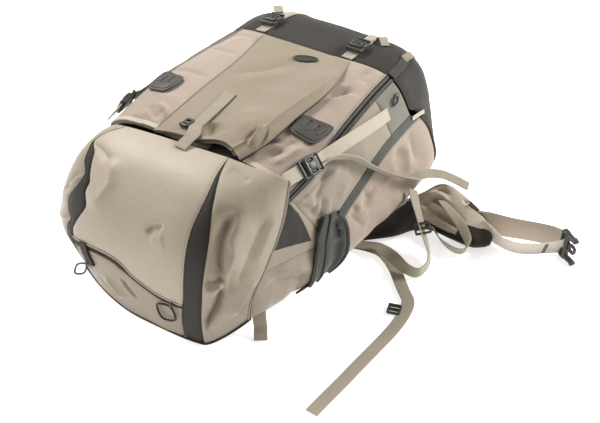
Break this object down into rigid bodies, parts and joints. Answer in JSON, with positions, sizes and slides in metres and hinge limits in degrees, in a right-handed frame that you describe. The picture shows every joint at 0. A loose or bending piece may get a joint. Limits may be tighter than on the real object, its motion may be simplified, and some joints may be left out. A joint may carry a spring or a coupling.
{
  "type": "camera backpack",
  "caption": "Camera backpack lying on its back, with a domed lid, a front flap pocket, side pockets, lash straps, side-release buckles, a padded hip belt and loose webbing.",
  "frame": {"origin": "middle of the flat back pad that the pack lies on", "axes": "+Z away from the wearer's back, +Y towards the pack's bottom, +X towards the side seen in the picture"},
  "size_m": [0.8257, 0.6116, 0.2664],
  "materials": {
    "lid_cloth": "coated woven nylon with a satin sheen",
    "rose_cloth": "matt woven nylon with a pinkish cast",
    "olive_cloth": "coated woven nylon, slightly olive",
    "tan_cloth": "woven nylon",
    "charcoal_cloth": "coarse woven nylon",
    "zipper_tape": "woven tape with a coil",
    "grey_cloth": "ripstop nylon",
    "webbing": "ribbed nylon webbing",
    "pale_webbing": "ribbed nylon webbing",
    "moulded_rubber": "matt moulded",
    "buckle_plastic": "fine moulded texture",
    "pull_cord": "braided cord"
  },
  "bodies": {
    "root": {"lid_panel": "lid_cloth", "lid_lower": "lid_cloth", "lid_side_right": "lid_cloth", "lid_side_left": "lid_cloth", "front_panel": "rose_cloth", "side_panel_right": "rose_cloth", "side_panel_left": "rose_cloth", "front_pocket": "olive_cloth", "side_pocket_right": "tan_cloth", "side_pocket_left": "tan_cloth", "side_base_right": "tan_cloth", "side_base_left": "tan_cloth", "hip_wing_right": "tan_cloth", "hip_wing_left": "tan_cloth", "bottom_boot": "charcoal_cloth", "back_panel": "charcoal_cloth", "side_mesh_right": "charcoal_cloth", "side_mesh_left": "charcoal_cloth", "lid_gusset_right": "charcoal_cloth", "lid_gusset_left": "charcoal_cloth", "shoulder_strap_right": "charcoal_cloth", "shoulder_strap_left": "charcoal_cloth", "front_zip_right": "zipper_tape", "front_zip_left": "zipper_tape", "side_zip_right": "zipper_tape", "side_zip_left": "zipper_tape", "lid_zip": "zipper_tape", "collar": "grey_cloth", "strap_yoke_right": "grey_cloth", "strap_yoke_left": "grey_cloth", "pocket_trim": "grey_cloth", "lid_strap_tail": "webbing", "lash_strap_right": "webbing", "lash_strap_left": "webbing", "hip_web": "webbing", "belt_loop": "webbing", "wing_loop": "webbing", "shoulder_web": "webbing", "floor_tab": "webbing", "lid_strap_right": "pale_webbing", "lid_strap_left": "pale_webbing", "lid_strap_end_right": "pale_webbing", "lid_strap_end_left": "pale_webbing", "front_strap": "pale_webbing", "badge": "moulded_rubber", "lash_patch_right": "moulded_rubber", "lash_patch_left": "moulded_rubber", "lid_buckle_right": "buckle_plastic", "lid_buckle_left": "buckle_plastic", "lash_buckle_right": "buckle_plastic", "lash_buckle_left": "buckle_plastic", "hip_buckle": "buckle_plastic", "belt_lock": "buckle_plastic", "front_lock": "buckle_plastic", "shoulder_clip": "buckle_plastic", "lid_pull_right": "pull_cord", "lid_pull_left": "pull_cord", "front_pull_right": "pull_cord", "side_pull_right": "pull_cord", "side_pull_low_right": "pull_cord"}
  },
  "joints": []
}
